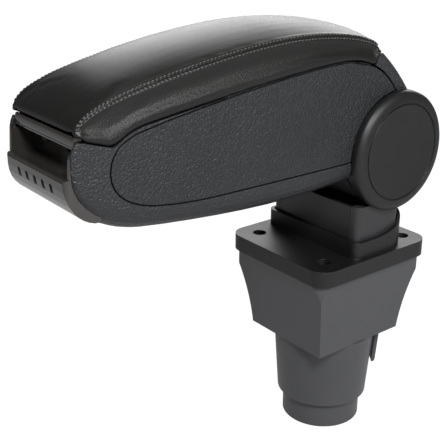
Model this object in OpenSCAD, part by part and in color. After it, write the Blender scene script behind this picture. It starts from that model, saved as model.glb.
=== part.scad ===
// Car centre armrest: a padded storage arm that folds up on a post, on an adapter for a cup holder.
// Millimetres. Origin at the bottom centre of the round foot, +Z up, the arm's latch end towards -Y.

/* [Foot] */
// Radius of the foot's straight lower end
foot_r = 29; // [26:0.5:31]
// Height of the foot's straight lower end
foot_band_h = 16.3; // [10:0.1:24]
// Height of the chamfer above the straight end
foot_chamfer_h = 4.4; // [2:0.1:8]
// Radius of the cone just above the chamfer
cone_low_r = 33.4; // [32:0.1:35]
// Radius of the cone where it meets the funnel
cone_top_r = 37.1; // [35.5:0.1:38]
// Height of the foot up to the funnel
foot_h = 72; // [60:0.5:90]
// Wall thickness of the adapter moulding
adapter_wall = 2.8; // [2:0.1:4]
// Width of the spring tab beside the foot
tab_w = 12; // [8:0.5:16]
// Thickness of the spring tab
tab_t = 2.6; // [2:0.1:4]
// Height of the spring tab
tab_h = 29; // [14:0.5:34]
// Gap between the spring tab and the cone
tab_gap = 1.4; // [0.8:0.1:2]
// Direction of the spring tab round the foot
tab_angle = 52; // [40:1:60]

/* [Funnel] */
// Half width of the funnel's lower end along X
funnel_low_x = 36.2; // [35:0.1:39]
// Half width of the funnel's lower end along Y
funnel_low_y = 39.4; // [38:0.1:42]
// Half width of the funnel's upper end along X
funnel_top_x = 46.8; // [44:0.1:47.5]
// Half width of the funnel's upper end along Y
funnel_top_y = 51.4; // [48:0.1:52]
// Height of the funnel from the foot to the plate's rim
funnel_h = 60.8; // [50:0.1:75]
// Radius of the funnel's hollow flare
flare_r = 300; // [150:5:400]

/* [Plate and collar] */
// Half width of the plate along X
plate_x = 49; // [48.5:0.1:53]
// Half width of the plate along Y
plate_y = 53.2; // [53:0.1:58]
// Radius of the plate's corners
plate_corner_r = 12; // [8:0.5:14]
// Height of the plate's rim
rim_h = 11.5; // [9:0.1:15]
// Thickness of the plate's top
plate_t = 4.5; // [3.5:0.1:6]
// Thickness of the rim's wall
rim_t = 2.4; // [2:0.1:2.6]
// Distance of the corner screws from the middle along X
screw_x = 33.3; // [31:0.1:34]
// Place of the two front corner screws along Y
screw_front_y = -37; // [-39:0.1:-35]
// Place of the two rear corner screws along Y
screw_rear_y = 41; // [40:0.1:42]
// Radius of the screws' counterbores
counterbore_r = 4.8; // [4.4:0.1:5.5]
// Depth of the screws' counterbores
counterbore_h = 5.5; // [4:0.1:7]
// Radius of the corner screws' shanks
screw_r = 2.1; // [1.5:0.1:2.5]
// Length of the corner screws under their heads
screw_l = 24; // [16:1:30]
// Half width of the collar along X
collar_x = 45.5; // [45.2:0.1:47]
// Thickness of the collar's wall
collar_t = 2.3; // [1.8:0.1:2.4]
// Gap between the collar's front wall and the post
collar_gap = 0.9; // [0.5:0.1:2]
// Place of the collar's rear face along Y
collar_rear_y = 34; // [31:0.5:35]
// Radius of the collar's rear corners
collar_rear_r = 17; // [8:0.5:20]
// Height of the collar at the front
collar_h = 11.8; // [8:0.1:16]
// Radius of the sweep with which the collar's top climbs to the rear
collar_sweep_r = 52; // [45:1:90]

/* [Post] */
// Half width of the post along X
post_x = 42.3; // [41:0.1:42.5]
// Distance of the post's front face in front of the foot's axis
post_front = 16; // [14:0.1:17]
// Distance of the post's rear face behind the foot's axis
post_rear = 25; // [23:0.1:28]
// How far the straight part of the post's shells laps their round ears
post_lap = 3.1; // [2:0.1:4]
// Radius of the post's corners
post_corner_r = 4; // [2:0.5:6]
// Wall thickness of the post's shells
post_wall = 2.4; // [2:0.1:2.6]
// Half width of the post's front and rear panels
post_panel_x = 35.2; // [33:0.1:35.4]
// Thickness of the steel frame
frame_t = 2.5; // [2:0.1:2.8]
// Radius of the frame's ear round the axle
frame_ear_r = 30; // [27:0.5:32]

/* [Pivot] */
// Place of the pivot's axis along Y
hub_y = 15.6; // [13:0.1:18]
// Height of the pivot's axis above the plate
hub_up = 71.2; // [70:0.1:76]
// How far the round cover discs reach past the barrel
cap_over = 2.5; // [2.2:0.1:4]
// Radius of the groove in the cover discs
cap_groove_r = 32.3; // [29:0.1:34]
// Width of a disc's straight edge
cap_edge = 2.4; // [2:0.1:5]
// Height of a disc's rounded shoulder
cap_shoulder = 4.2; // [3:0.1:6]
// Depth of the dish in a disc's face
cap_dish = 1.4; // [0.5:0.1:2]
// Radius of the pivot's barrel
barrel_r = 38.5; // [37:0.1:39]
// Half length of the arm's barrel between the post's ears
barrel_x = 33.4; // [32:0.1:33.5]
// Radius of the axle
axle_r = 6; // [5:0.1:7]
// Radial running gap between the axle and the arm's barrel
axle_fit = 0.05; // [0.02:0.01:0.1]
// Radius of the stop pin
stop_r = 4; // [3:0.1:5]
// Distance of the stop pin from the pivot's axis
stop_reach = 24; // [22:0.1:26]
// Angle through which the arm folds up
fold_angle = 90; // [60:1:92]

/* [Arm] */
// Distance from the pivot's axis to the arm's nose
arm_len = 241.6; // [220:0.5:270]
// Half width of the arm beside the pivot
arm_rear_x = 42.4; // [41.5:0.1:42.4]
// Half width of the arm at its nose
arm_nose_x = 36.2; // [35.8:0.1:39]
// Radius of the nose's corners seen from above
nose_corner_r = 6; // [3:0.5:10]
// Rounding of the arm's lower edges
belly_r = 12; // [8:0.5:14]
// Gap between the pivot's barrel and the hollow of the arm
arm_cut_gap = 2.3; // [1.8:0.1:2.6]
// Thickness of the box's floor and outer walls
box_wall = 2.6; // [2:0.1:3]
// Thickness of the side trims and depth of their pockets
trim_t = 2.4; // [1.8:0.1:2.8]
// Width of the groove round the side trims
trim_groove = 1; // [0.6:0.1:1.6]
// Wall thickness of the storage tray
tray_t = 1.5; // [1.2:0.1:2]
// Height of the storage tray's floor above the pivot's axis
tray_floor = 0.5; // [0.2:0.1:3]
// Half width of the arm frame's tongue
tongue_x = 25; // [20:0.5:27]
// Length of the arm frame's tongue in front of the pivot's axis
tongue_l = 130; // [110:1:150]

/* [Front] */
// Half width of the gloss front piece
bezel_x = 34.4; // [32:0.1:34.5]
// Wall thickness of the gloss front piece
bezel_t = 2.2; // [1.6:0.1:2.6]
// How far the lower lip stands in front of the nose
lip_out = 2.2; // [1:0.1:4]
// Height of the lower lip's top above the pivot's axis
lip_z = 25.5; // [23:0.1:27]
// Depth of the finger recess behind the nose
recess_d = 17; // [15:0.1:18]
// Number of dimples in the lower lip
dimple_count = 5; // [3:1:6]
// Distance between the dimples
dimple_pitch = 9.2; // [8:0.1:10]
// Radius of the dimples' round ends
dimple_r = 1.7; // [1:0.1:2.2]
// Height of the latch bar
latch_h = 6.6; // [5:0.1:7]
// Radius of the latch's pin
latch_pin_r = 1.4; // [1:0.1:1.6]
// Angle through which the latch bar turns
latch_angle = 16; // [8:1:18]

/* [Lid] */
// Height of the lid's crown above its seams at the rear
dome_rear = 6.2; // [4:0.5:10]
// Height of the lid's crown above its seams at the front
dome_front = 4; // [1:0.5:5]
// Distance of the lid's seams inside the arm's sides
seam_in = 1.4; // [1:0.1:3]
// Radius of the lid's front corners
lid_corner_r = 2.4; // [1.5:0.1:4]
// Thickness of the lid's cover
cover_t = 1.4; // [1:0.1:2]
// Thickness of the lid's plastic pan
pan_h = 6; // [5:0.1:7]
// Thickness of the pan's walls
pan_t = 2; // [1.5:0.1:2.4]
// Depth of the pan's rim inside the tray
plug_h = 5; // [3:0.5:7]
// Radius of the lid's hinge pin
lid_pin_r = 1.5; // [1.2:0.1:1.8]
// Radius of the lid's hinge barrels
lid_barrel_r = 2.7; // [2.6:0.1:2.8]
// Angle through which the lid opens
lid_angle = 75; // [50:1:75]

/* [Hidden] */

$fn = 96;
eps = 0.05;
far = 200;
clear = 0.3;
rim_z = foot_h + funnel_h;
plate_z = rim_z + rim_h;
plate_low_z = plate_z - plate_t;
hub_z = plate_z + hub_up;
post_h = hub_up - barrel_r + post_lap;
cap_r = barrel_r + cap_over;
arm_cut_r = barrel_r + arm_cut_gap;
boss_low_z = plate_z - counterbore_h - plate_t;
neck_gap = 0.3;
neck_w = 16;
nose_y = hub_y - arm_len;
taper_y = hub_y - 25.6;
collar_y = post_front + collar_gap + collar_t;
ear_in = post_x - post_wall;
frame_x = barrel_x + 2.4;
pin_y = hub_y - 14.6;
pin_z = hub_z + 59.1;
hinge_clear_r = 9.4;
cover_nose_r = 8.8;
arm_out_y = hub_y - sqrt(arm_cut_r * arm_cut_r - 121);

// Points of the arm's outline in the side view, from the nose or from the pivot
function nose(u, v) = [nose_y + u, hub_z + v];
function hub(u, v) = [hub_y + u, hub_z + v];
function between(a, b, t, v) = [a[0] + (b[0] - a[0]) * t, hub_z + v];

function bezier(p, t) =
    p[0] * pow(1 - t, 3)
    + p[1] * 3 * t * pow(1 - t, 2)
    + p[2] * 3 * t * t * (1 - t)
    + p[3] * pow(t, 3);
function curve(p, n) = [for (i = [0:n]) bezier(p, i / n)];
function tail(p) = [for (i = [1:len(p) - 1]) p[i]];
function flip(p) = [for (i = [len(p) - 1:-1:0]) p[i]];
function shift(p, u, v) = [for (q = p) [q[0] + u, q[1] + v]];
function grow(p, g) = [
    for (i = [0:len(p) - 1])
        let (a = p[(i + len(p) - 1) % len(p)], b = p[(i + 1) % len(p)], d = (b - a) / norm(b - a))
            p[i] + g * [-d[1], d[0]]
];

// Belly, from the nose to the pivot
nose_tip = nose(0, 24.5);
belly_start = nose(50, -12.9);
belly_end = hub(-41.6, -16.2);
belly_line = concat(
    curve([nose_tip, nose(0, 5), nose(20, -9.5), belly_start], 9),
    tail(curve([belly_start, between(belly_start, belly_end, 0.31, -17.4),
        between(belly_start, belly_end, 0.64, -21.4), belly_end], 8)));

// Edge between the box and the lid, and behind the lid between the box and the rear cover
edge_front = nose(5.3, 46.2);
edge_low = nose(26, 40.1);
edge_step = nose(45, 48.8);
edge_high = hub(-53.6, 65.4);
edge_rear = hub(-24, 59.8);
lid_edge = concat(
    curve([edge_front, nose(10, 45.4), nose(19, 42), edge_low], 4),
    tail(curve([edge_low, nose(29.5, 40.5), nose(33, 46.4), edge_step], 5)),
    tail(curve([edge_step, between(edge_step, edge_high, 0.28, 54.8),
        between(edge_step, edge_high, 0.74, 64.5), edge_high], 8)),
    tail(curve([edge_high, hub(-42, 65.8), hub(-31, 63.5), edge_rear], 4)));
rear_edge = curve([edge_rear, hub(-15, 55.8), hub(-7.5, 48), hub(-3, 41.3)], 6);
nose_edge = curve([nose_tip, nose(0.2, 34.5), nose(1.5, 41.5), edge_front], 6);
box_top = concat(nose_edge, tail(lid_edge), tail(rear_edge));

// Line of the lid's seams
seam_front = nose(4.6, 49.5);
seam_step = nose(26.5, 64.4);
seam_high = hub(-95.6, 83.7);
seam_rear = hub(-17, 69.7);
seam_line = concat(
    curve([seam_front, nose(5.5, 56.5), nose(15, 61), seam_step], 6),
    tail(curve([seam_step, between(seam_step, seam_high, 0.25, 73.2),
        between(seam_step, seam_high, 0.66, 81.8), seam_high], 7)),
    tail(curve([seam_high, hub(-65.6, 84.4), hub(-26, 80.2), seam_rear], 8)));

// Outer face of the rear cover
cover_line = curve([hub(-19.7, 68.6), hub(-10.5, 61.4), hub(-1.6, 53), hub(8.4, 40)], 10);

// Outline of a side trim
trim_top = [for (i = [0:8])
    let (y = nose_y + 40 + (hub_y - 24 - nose_y - 40) * i / 8)
        [y, lookup(y, lid_edge) - 0.9 - 2.2 * pow(1 - i / 8, 3)]];
trim_line = concat(
    flip(curve([nose(37, 42.9), nose(29.5, 40.3), nose(24.6, 34.5), nose(24.2, 25.5)], 5)),
    trim_top,
    shift(rear_edge, 0.2, -1.2),
    [hub(-3, -0.5)],
    flip(curve([nose(49, 3), nose(62, 0.9), nose(75, -0.2), nose(89, -0.4)], 3)),
    tail(flip(tail(curve([nose(24.2, 25.5), nose(24.1, 14), nose(33, 6.6), nose(49, 3)], 7)))));

// Half width of the arm, and of its plan outline with rounded front corners
function half_w(y) = y < taper_y
    ? arm_rear_x - (arm_rear_x - arm_nose_x) * pow((taper_y - y) / (taper_y - nose_y), 2)
    : arm_rear_x;
function round_off(y, y0, r) = y < y0 + r
    ? r - sqrt(max(0, r * r - pow(y0 + r - y, 2)))
    : 0;
function plan_x(y, y0, r, inset) = half_w(y) - round_off(y, y0, r) - inset;

module along_x(x0, x1) {
    translate([x0, 0, 0]) rotate([90, 0, 90]) linear_extrude(x1 - x0) children();
}

module along_y(y0, y1) {
    translate([0, y1, 0]) rotate([90, 0, 0]) linear_extrude(y1 - y0) children();
}

module rod_x(r, x0, x1, y, z) {
    translate([x0, y, z]) rotate([0, 90, 0]) cylinder(r = r, h = x1 - x0);
}

module block(a, b) {
    translate(a) cube(b - a);
}

module both_sides() {
    children();
    mirror([1, 0, 0]) children();
}

module round_rect(x, y0, y1, front_r, rear_r) {
    for (s = [-1, 1]) {
        translate([s * (x - front_r), y0 + front_r]) circle(front_r);
        translate([s * (x - rear_r), y1 - rear_r]) circle(rear_r);
    }
    polygon([[-x, y0 + front_r], [-x + front_r, y0], [x - front_r, y0], [x, y0 + front_r],
        [x, y1 - rear_r], [x - rear_r, y1], [-x + rear_r, y1], [-x, y1 - rear_r]]);
}

// Plan of the arm between two places along Y, drawn in by an inset
module arm_plan(inset, y0, y1, corner) {
    steps = 24;
    ys = concat(
        [for (i = [0:5]) y0 + corner * (1 - cos(i * 18))],
        [for (i = [1:steps]) y0 + corner + (y1 - y0 - corner) * i / steps]);
    right = [for (y = ys) [plan_x(y, y0, corner, inset), y]];
    left = [for (y = ys) [-plan_x(y, y0, corner, inset), y]];
    polygon(concat(right, flip(left)));
}

module arm_column(inset, y0, y1, corner) {
    linear_extrude(hub_z + far) arm_plan(inset, y0, y1, corner);
}

// A body lofted along Y through rings of points that all have the same count
module loft(rings) {
    n = len(rings[0]);
    m = len(rings);
    points = [for (r = rings) for (q = r) q];
    sides = [for (i = [0:m - 2]) for (j = [0:n - 1])
        let (a = i * n + j, b = i * n + (j + 1) % n) [a, a + n, b + n, b]];
    split = [for (f = sides) for (k = [1, 2]) [f[0], f[k], f[k + 1]]];
    front = [[for (j = [0:n - 1]) j]];
    back = [[for (j = [n - 1:-1:0]) (m - 1) * n + j]];
    polyhedron(points, concat(split, front, back));
}

// One ring of the box: straight sides, rounded lower corners and a flat top
function box_ring(y, x, low, high, r) = let (q = min(r, (high - low) * 0.45, x * 0.8)) concat(
    [[x, y, high]],
    [for (i = [0:5]) [x - q + q * cos(i * 18), y, low + q - q * sin(i * 18)]],
    [for (i = [5:-1:0]) [-x + q - q * cos(i * 18), y, low + q - q * sin(i * 18)]],
    [[-x, y, high]]);

box_gap = 0.6;
box_end_y = rear_edge[len(rear_edge) - 1][0] - 0.5;
box_stations = concat(
    [for (u = [0.15, 0.5, 1.2, 2.2, 3.6]) nose_y + u],
    [for (p = lid_edge) p[0]],
    [for (p = tail(rear_edge)) if (p[0] < box_end_y - 0.5) p[0]],
    [box_end_y]);

module box_form() {
    loft([for (y = box_stations) box_ring(
        y,
        plan_x(y, nose_y, nose_corner_r, 0),
        lookup(y, belly_line),
        lookup(y, box_top) - box_gap,
        belly_r)]);
}

cavity_front_y = nose_y + 22;
deck_y = hub_y - 32;
cavity_stations = concat(
    [cavity_front_y],
    [for (p = lid_edge) if (p[0] > cavity_front_y + 0.9 && p[0] < deck_y - 1.5) p[0]],
    [deck_y - 0.5],
    [for (i = [0:4]) deck_y + 18 * i / 4]);
cavity_in = trim_t + 2.3;

module box_cavity() {
    difference() {
        loft([for (y = cavity_stations) box_ring(
            y,
            half_w(y) - cavity_in,
            lookup(y, belly_line) + box_wall,
            lookup(y, box_top) + (y < deck_y ? 20 : -box_gap - box_wall),
            belly_r - box_wall)]);
        rod_x(arm_cut_r + box_wall, -far, far, hub_y, hub_z);
    }
}

// What the fixed pivot needs kept free of the arm
module pivot_clearance(r) {
    rod_x(r, -far, far, hub_y, hub_z);
    block([-far, arm_out_y, hub_z - far], [far, hub_y + far, hub_z]);
}

// Side profile of the funnel: a tapering block with hollow flanks
module flare(low, top, h, inset) {
    mid = [(low + top) / 2, h / 2];
    chord = [top - low, h];
    reach = sqrt(flare_r * flare_r - pow(norm(chord) / 2, 2));
    out = [chord[1], -chord[0]] / norm(chord);
    difference() {
        polygon([[-low - 12, 0], [low + 12, 0], [top + 12, h], [-top - 12, h]]);
        for (s = [-1, 1])
            translate([s * (mid[0] + out[0] * reach), mid[1] + out[1] * reach])
                circle(flare_r + inset, $fn = 360);
    }
}

module funnel(inset) {
    intersection() {
        translate([0, 0, foot_h]) along_y(-far, far) flare(funnel_low_x, funnel_top_x, funnel_h, inset);
        translate([0, 0, foot_h]) along_x(-far, far) flare(funnel_low_y, funnel_top_y, funnel_h, inset);
        linear_extrude(far) round_rect(funnel_top_x - inset, -funnel_top_y + inset,
            funnel_top_y - inset, plate_corner_r - inset, plate_corner_r - inset);
    }
}

module neck(inset, z0, z1) {
    x = plate_x - rim_t - neck_gap - inset;
    y = plate_y - rim_t - neck_gap - inset;
    r = plate_corner_r - rim_t - inset;
    translate([0, 0, z0]) linear_extrude(z1 - z0) round_rect(x, -y, y, r, r);
}

module foot(inset, low) {
    rotate_extrude() polygon([[0, low], [foot_r - inset, low], [foot_r - inset, foot_band_h],
        [cone_low_r - inset, foot_band_h + foot_chamfer_h], [cone_top_r - inset, foot_h + eps], [0, foot_h + eps]]);
}

module at_corner_screws() {
    for (x = [-screw_x, screw_x], y = [screw_front_y, screw_rear_y])
        translate([x, y, 0]) children();
}

module adapter_housing() {
    color("#4a4b4e") {
        difference() {
            union() {
                foot(0, 0);
                funnel(0);
                neck(0, rim_z - eps, plate_low_z);
            }
            difference() {
                union() {
                    foot(adapter_wall, adapter_wall);
                    translate([0, 0, adapter_wall]) funnel(adapter_wall);
                    neck(adapter_wall, rim_z - 1, plate_z);
                }
                at_corner_screws() translate([0, 0, foot_h]) cylinder(r = screw_r + 3.6, h = boss_low_z - foot_h);
            }
            at_corner_screws() translate([0, 0, boss_low_z - screw_l])
                cylinder(r = screw_r + clear / 4, h = screw_l + 1);
        }
        spring_tab();
    }
}

module spring_tab() {
    r0 = cone_top_r + tab_gap;
    lean = (cone_top_r - cone_low_r) / (foot_h - foot_band_h - foot_chamfer_h);
    rotate([0, 0, tab_angle]) along_y(-tab_w / 2, tab_w / 2)
        polygon([[r0, foot_h + 1], [r0 - lean * tab_h, foot_h - tab_h],
            [r0 - lean * tab_h + tab_t - 1, foot_h - tab_h], [r0 - lean * tab_h + tab_t, foot_h - tab_h + 2],
            [r0 + tab_t, foot_h + 1]]);
}

bolt_x = 22;
bolt_y = 4;
bolt_r = 4;

module collar_plate() {
    sweep_z = plate_z + collar_h + collar_sweep_r;
    color("#1d1d1e") difference() {
        union() {
            translate([0, 0, rim_z])
                linear_extrude(rim_h) round_rect(plate_x, -plate_y, plate_y, plate_corner_r, plate_corner_r);
            difference() {
                translate([0, 0, plate_z - eps]) linear_extrude(collar_h + 20)
                    round_rect(collar_x, -collar_y, collar_rear_y, post_corner_r + 2, collar_rear_r);
                block([-far, -far, plate_z + collar_h], [far, 0, plate_z + far]);
                rod_x(collar_sweep_r, -far, far, 0, sweep_z);
            }
        }
        difference() {
            translate([0, 0, rim_z - 1]) linear_extrude(rim_h - plate_t + 1)
                round_rect(plate_x - rim_t, rim_t - plate_y, plate_y - rim_t,
                    plate_corner_r - rim_t, plate_corner_r - rim_t);
            at_corner_screws() translate([0, 0, boss_low_z])
                cylinder(r = counterbore_r + 1.6, h = rim_h);
        }
        translate([0, 0, plate_z]) linear_extrude(far)
            round_rect(collar_x - collar_t, -collar_y + collar_t, collar_rear_y - collar_t,
                post_corner_r, collar_rear_r - collar_t);
        at_corner_screws() translate([0, 0, plate_z - counterbore_h]) cylinder(r = counterbore_r, h = far);
        at_corner_screws() translate([0, 0, rim_z - 1]) cylinder(r = screw_r + clear, h = far);
        for (s = [-1, 1]) translate([s * bolt_x, bolt_y, rim_z]) cylinder(r = bolt_r + clear, h = far);
    }
}

module plate_screws() {
    head_r = counterbore_r - 0.6;
    head_h = 3;
    color("#2b2b2c") at_corner_screws() translate([0, 0, plate_z - counterbore_h]) difference() {
        union() {
            cylinder(r = head_r, h = head_h);
            translate([0, 0, -screw_l]) cylinder(r = screw_r, h = screw_l + eps);
        }
        for (a = [0, 90]) rotate([0, 0, a]) translate([-2.4, -0.5, head_h - 1.6]) cube([4.8, 1, 2]);
    }
}

module post_frame() {
    web_z = hub_z - barrel_r - 4;
    base_front = post_front - post_wall - 1;
    base_rear = post_rear - post_wall - 1;
    neck_front = base_rear - neck_w;
    color("#55575a") difference() {
        union() {
            block([-frame_x - frame_t, -base_front, plate_z], [frame_x + frame_t, base_rear, plate_z + frame_t]);
            both_sides() along_x(frame_x, frame_x + frame_t) {
                translate([hub_y, hub_z]) circle(frame_ear_r);
                polygon([[-base_front, plate_z], [base_rear, plate_z], [base_rear, hub_z - frame_ear_r * 0.8],
                    [neck_front, hub_z - frame_ear_r * 0.8], [neck_front, web_z], [-base_front, web_z - 6]]);
            }
            block([-frame_x - eps, base_rear - frame_t, plate_z], [frame_x + eps, base_rear, web_z]);
        }
        rod_x(axle_r + axle_fit, -far, far, hub_y, hub_z);
        rod_x(stop_r + axle_fit, -far, far, hub_y, hub_z - stop_reach);
        for (s = [-1, 1]) translate([s * bolt_x, bolt_y, 0]) cylinder(r = bolt_r + clear, h = far);
        both_sides() at_right_screws() cylinder(r = shell_screw_r + axle_fit, h = 8);
    }
}

module post_bolts() {
    head_z = plate_z + frame_t;
    color("#8d8f92") for (s = [-1, 1]) translate([s * bolt_x, bolt_y, 0]) {
        translate([0, 0, head_z]) cylinder(r = 6.5, h = 5, $fn = 6);
        translate([0, 0, plate_low_z - 8]) cylinder(r = bolt_r, h = head_z - plate_low_z + 8 + eps);
    }
}

module post_nuts() {
    nut_h = 6;
    color("#8d8f92") for (s = [-1, 1]) translate([s * bolt_x, bolt_y, plate_low_z - nut_h]) difference() {
        cylinder(r = 7.2, h = nut_h, $fn = 6);
        translate([0, 0, -1]) cylinder(r = bolt_r + axle_fit, h = nut_h + 2);
    }
}

shell_screw_r = 1.6;
shell_screw_reach = 20;
shell_screw_head = 2.2;

// The three screws of the right side shell, drawn outward from inside the frame's ear
module at_right_screws() {
    for (a = [90, 210, 330])
        translate([frame_x - 1, hub_y + shell_screw_reach * cos(a), hub_z + shell_screw_reach * sin(a)])
            rotate([0, 90, 0]) children();
}

module post_outline(inset) {
    round_rect(post_x - inset, -post_front + inset, post_rear - inset,
        post_corner_r - inset * 0.5, post_corner_r - inset * 0.5);
}

module post_shell_right() {
    boss_x = frame_x + frame_t + 0.1;
    color("#2c2d2f") difference() {
        union() {
            difference() {
                union() {
                    intersection() {
                        translate([0, 0, plate_z]) linear_extrude(post_h) post_outline(0);
                        block([post_panel_x + 0.3, -far, 0], [far, far, far * 2]);
                    }
                    rod_x(barrel_r, post_panel_x + 0.3, post_x, hub_y, hub_z);
                }
                intersection() {
                    translate([0, 0, plate_z - 1]) linear_extrude(post_h + 1 - post_wall) post_outline(post_wall);
                    block([0, -far, 0], [ear_in, far, far * 2]);
                }
                rod_x(barrel_r - post_wall, 0, ear_in, hub_y, hub_z);
                block([0, post_rear - post_wall - neck_w - 2, plate_z + post_h - 8],
                    [ear_in, post_rear - post_wall - 0.5, hub_z - frame_ear_r * 0.8]);
            }
            at_right_screws() translate([0, 0, boss_x - frame_x + 1])
                cylinder(r = shell_screw_r + 2, h = ear_in - boss_x + eps);
        }
        rod_x(14, 0, far, hub_y, hub_z);
        at_right_screws() cylinder(r = shell_screw_r + axle_fit, h = far);
    }
}

module post_shell_left() {
    mirror([1, 0, 0]) post_shell_right();
}

module shell_screws() {
    color("#8d8f92") both_sides() at_right_screws() {
        translate([0, 0, 1.1]) cylinder(r = shell_screw_r, h = post_x - frame_x);
        translate([0, 0, post_x - frame_x + 1]) cylinder(r = shell_screw_r * 2, h = shell_screw_head);
    }
}

module post_front_panel() {
    color("#262525") block([-post_panel_x, -post_front, plate_z],
        [post_panel_x, -post_front + post_wall, plate_z + post_h - 0.4]);
}

module post_rear_panel() {
    color("#262525") block([-post_panel_x, post_rear - post_wall, plate_z],
        [post_panel_x, post_rear, hub_z - barrel_r - 1.5]);
}

axle_end = post_x + 3.5;
washer_t = 1.5;

module pivot_axle() {
    color("#8d8f92") rod_x(axle_r, -axle_end, axle_end, hub_y, hub_z);
}

module axle_washers() {
    color("#8d8f92") both_sides() difference() {
        rod_x(axle_r + 5.5, frame_x + frame_t, frame_x + frame_t + washer_t, hub_y, hub_z);
        rod_x(axle_r + axle_fit, 0, far, hub_y, hub_z);
    }
}

module axle_nuts() {
    x = frame_x + frame_t + washer_t;
    color("#8d8f92") both_sides() difference() {
        translate([x, hub_y, hub_z]) rotate([0, 90, 0]) cylinder(r = axle_r + 4.5, h = 5, $fn = 6);
        rod_x(axle_r + axle_fit, 0, far, hub_y, hub_z);
    }
}

module friction_washers() {
    color("#3b3b3b") both_sides() difference() {
        rod_x(stop_reach - stop_r - 1.5, barrel_x + 0.2, frame_x, hub_y, hub_z);
        rod_x(axle_r + axle_fit, 0, far, hub_y, hub_z);
    }
}

module stop_pin() {
    color("#8d8f92") rod_x(stop_r, -frame_x - frame_t, frame_x + frame_t, hub_y, hub_z - stop_reach);
}

module hub_cap_right() {
    foot_h0 = 0.5;
    edge = foot_h0 + cap_edge;
    face = edge + cap_shoulder;
    lip = cap_groove_r + 1;
    wall = 2.2;
    color("#3a3a3a") translate([post_x, hub_y, hub_z]) rotate([0, 90, 0]) rotate_extrude() polygon(concat(
        [[cap_r, foot_h0]],
        curve([[cap_r, edge], [cap_r, edge + cap_shoulder * 0.62], [cap_r - 3.2, face], [lip, face]], 7),
        [[lip - 0.2, face - 0.9], [cap_groove_r, face - 0.9]],
        curve([[cap_groove_r - 0.2, face - 0.1], [22, face - 1], [10, face - cap_dish], [0, face - cap_dish]], 6),
        [[0, face - cap_dish - wall], [cap_groove_r - 4.3, face - 1 - wall], [cap_groove_r - 4.3, 0],
            [cap_groove_r - 1.8, 0], [cap_groove_r - 1.8, face - 1 - wall], [lip + 1, face - 1 - wall],
            [cap_r - wall, edge], [cap_r - wall, foot_h0]]));
}

module hub_cap_left() {
    mirror([1, 0, 0]) hub_cap_right();
}

tongue_z = hub_z - 6.5;
tongue_t = 5;
tongue_end_y = hub_y - tongue_l;
frame_screw_r = 1.8;
frame_screw_head = 2.4;

module at_frame_screws() {
    for (x = [-tongue_x + 8, tongue_x - 8], y = [tongue_end_y + 14, tongue_end_y + 54])
        translate([x, y, 0]) children();
}

// The slot in which the stop pin runs, as the arm sees it, with flat ends that meet the pin
module stop_slot(gap, x) {
    r = stop_r + gap;
    over = asin(r / stop_reach);
    intersection() {
        difference() {
            rod_x(stop_reach + r, -x, x, hub_y, hub_z);
            rod_x(stop_reach - r, -far, far, hub_y, hub_z);
        }
        along_x(-far, far) polygon(concat([hub(0, 0)],
            [for (a = [270 - over, 270 + fold_angle / 2, 270 + fold_angle + over])
                hub(2 * stop_reach * cos(a), 2 * stop_reach * sin(a))]));
    }
}

module arm_frame() {
    web = 3;
    tube_r = axle_r + 5;
    rim = 3;
    color("#242426") difference() {
        union() {
            difference() {
                rod_x(barrel_r, -barrel_x, barrel_x, hub_y, hub_z);
                both_sides() difference() {
                    rod_x(barrel_r - rim, web, barrel_x + 1, hub_y, hub_z);
                    rod_x(tube_r, 0, far, hub_y, hub_z);
                    for (a = [42:44:218]) translate([0, hub_y, hub_z]) rotate([a, 0, 0])
                        translate([0, 0, -1.2]) cube([barrel_x - 1, barrel_r - rim / 2, 2.4]);
                }
            }
            block([-tongue_x, tongue_end_y, tongue_z], [tongue_x, hub_y - barrel_r + rim / 2, tongue_z + tongue_t]);
        }
        rod_x(axle_r + axle_fit, -far, far, hub_y, hub_z);
        stop_slot(clear, web + 1);
        at_frame_screws() {
            translate([0, 0, tongue_z - 1]) cylinder(r = frame_screw_r + clear, h = far);
            translate([0, 0, tongue_z + tongue_t - frame_screw_head - 0.2]) cylinder(r = frame_screw_r * 2 + clear, h = far);
        }
    }
}

module arm_frame_screws() {
    z = tongue_z + tongue_t - frame_screw_head - 0.2;
    color("#8d8f92") at_frame_screws() {
        translate([0, 0, z]) cylinder(r = frame_screw_r * 2, h = frame_screw_head);
        translate([0, 0, z - 7]) cylinder(r = frame_screw_r, h = 7 + eps);
    }
}

bezel_back_y = nose_y + recess_d + bezel_t;
tray_in = cavity_in + 0.4;
tray_corner_r = 5;
tray_front_y = cavity_front_y + 0.4;
tray_rear_y = hub_y - arm_cut_r - box_wall - 2.6;
flange_t = 1.5;
flange_gap = 0.9;

// Region above the lid's edge, moved down by some distance
module above_edge(down) {
    polygon(concat(shift(lid_edge, 0, -down), [hub(-24, 120)], [nose(5.3, 120)]));
}

bezel_top = 40.8;

module trim_pocket(g) {
    both_sides() intersection() {
        along_x(arm_nose_x - 8, arm_rear_x + 5) polygon(grow(trim_line, g));
        difference() {
            block([0, nose_y - 5, 0], [far, hub_y, far * 2]);
            arm_column(trim_t, nose_y + 2, hub_y, nose_corner_r);
        }
    }
}

hinge_in = 16;
hinge_w = 6;
lug_w = 5;

module hinge_notches() {
    both_sides() block([hinge_in - 0.7, pin_y - 18.5, pin_z - 3.9], [hinge_in + hinge_w + 0.7, pin_y + 4.5, pin_z + 12]);
}

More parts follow.
